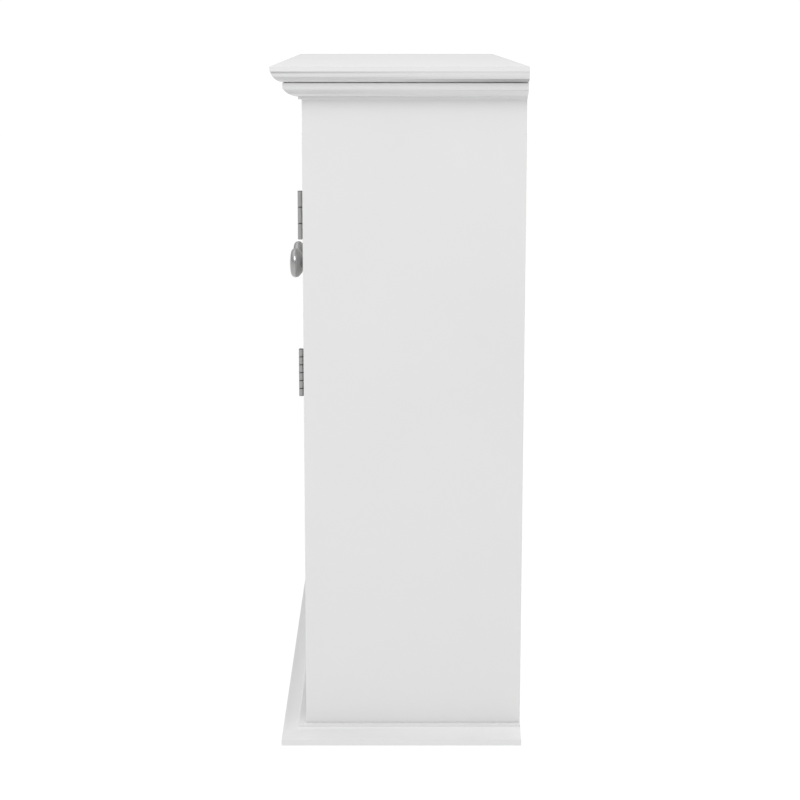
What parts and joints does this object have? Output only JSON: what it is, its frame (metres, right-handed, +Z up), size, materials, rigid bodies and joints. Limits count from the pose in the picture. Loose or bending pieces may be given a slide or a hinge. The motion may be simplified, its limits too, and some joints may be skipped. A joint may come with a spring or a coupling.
{
  "type": "hanging wall cabinet",
  "caption": "Wall cabinet with two inset frame-and-panel doors on butt hinges above an open shelf, between an overhanging cornice top and an overhanging base board.",
  "frame": {"origin": "on the wall plane, midway between the two holes that the cabinet hangs by", "axes": "+X to the viewer's right, -Y out of the wall towards the viewer, +Z up"},
  "size_m": [0.577, 0.226, 0.622],
  "materials": {
    "carcass_paint": "satin white lacquer sprayed on board",
    "door_paint": "satin white lacquer sprayed on board",
    "back_paint": "white painted hardboard",
    "satin_nickel": "satin nickel plate",
    "zinc_steel": "bright zinc plated steel",
    "cam_zinc": "as-cast zinc alloy",
    "beech": "plain turned beech",
    "white_plastic": "moulded white plastic",
    "ferrite": "sintered ferrite"
  },
  "bodies": {
    "carcass": {"base_board": "carcass_paint", "side_left": "carcass_paint", "side_right": "carcass_paint", "top_panel": "carcass_paint", "fixed_shelf": "carcass_paint", "top_board": "carcass_paint", "cornice_front": "carcass_paint", "cornice_left": "carcass_paint", "cornice_right": "carcass_paint", "back_panel": "back_paint", "hanging_rail": "carcass_paint", "adjustable_shelf": "carcass_paint", "shelf_pins": "satin_nickel", "cam_locks": "cam_zinc", "cam_bolts": "zinc_steel", "cam_caps": "white_plastic", "dowels": "beech", "base_screws": "zinc_steel", "top_board_screws": "zinc_steel", "rail_screws": "zinc_steel", "cornice_brads": "zinc_steel", "back_nails": "zinc_steel", "catch_housing_left": "white_plastic", "catch_housing_right": "white_plastic", "catch_magnets": "ferrite", "catch_pole_plates": "zinc_steel", "catch_screws": "zinc_steel", "carcass_leaf_left_upper": "satin_nickel", "carcass_leaf_left_lower": "satin_nickel", "carcass_leaf_right_upper": "satin_nickel", "carcass_leaf_right_lower": "satin_nickel", "hinge_pins": "satin_nickel", "carcass_leaf_screws": "satin_nickel"},
    "door_left": {"left_hinge_stile": "door_paint", "left_lock_stile": "door_paint", "left_top_rail": "door_paint", "left_bottom_rail": "door_paint", "left_panel": "door_paint", "left_knob": "satin_nickel", "left_knob_screw": "zinc_steel", "left_strike_plate": "zinc_steel", "left_strike_screw": "zinc_steel", "left_leaf_upper": "satin_nickel", "left_leaf_lower": "satin_nickel", "left_leaf_screws": "satin_nickel"},
    "door_right": {"right_hinge_stile": "door_paint", "right_lock_stile": "door_paint", "right_top_rail": "door_paint", "right_bottom_rail": "door_paint", "right_panel": "door_paint", "right_knob": "satin_nickel", "right_knob_screw": "zinc_steel", "right_strike_plate": "zinc_steel", "right_strike_screw": "zinc_steel", "right_leaf_upper": "satin_nickel", "right_leaf_lower": "satin_nickel", "right_leaf_screws": "satin_nickel"}
  },
  "joints": [
    {"name": "left_door_hinge", "type": "hinge", "parent": "carcass", "child": "door_left", "pos_m": [-0.2459, -0.202, -0.1463], "axis": [0, 0, -1], "range_deg": [0, 180]},
    {"name": "right_door_hinge", "type": "hinge", "parent": "carcass", "child": "door_right", "pos_m": [0.2459, -0.202, -0.1463], "axis": [0, 0, 1], "range_deg": [0, 180]}
  ]
}
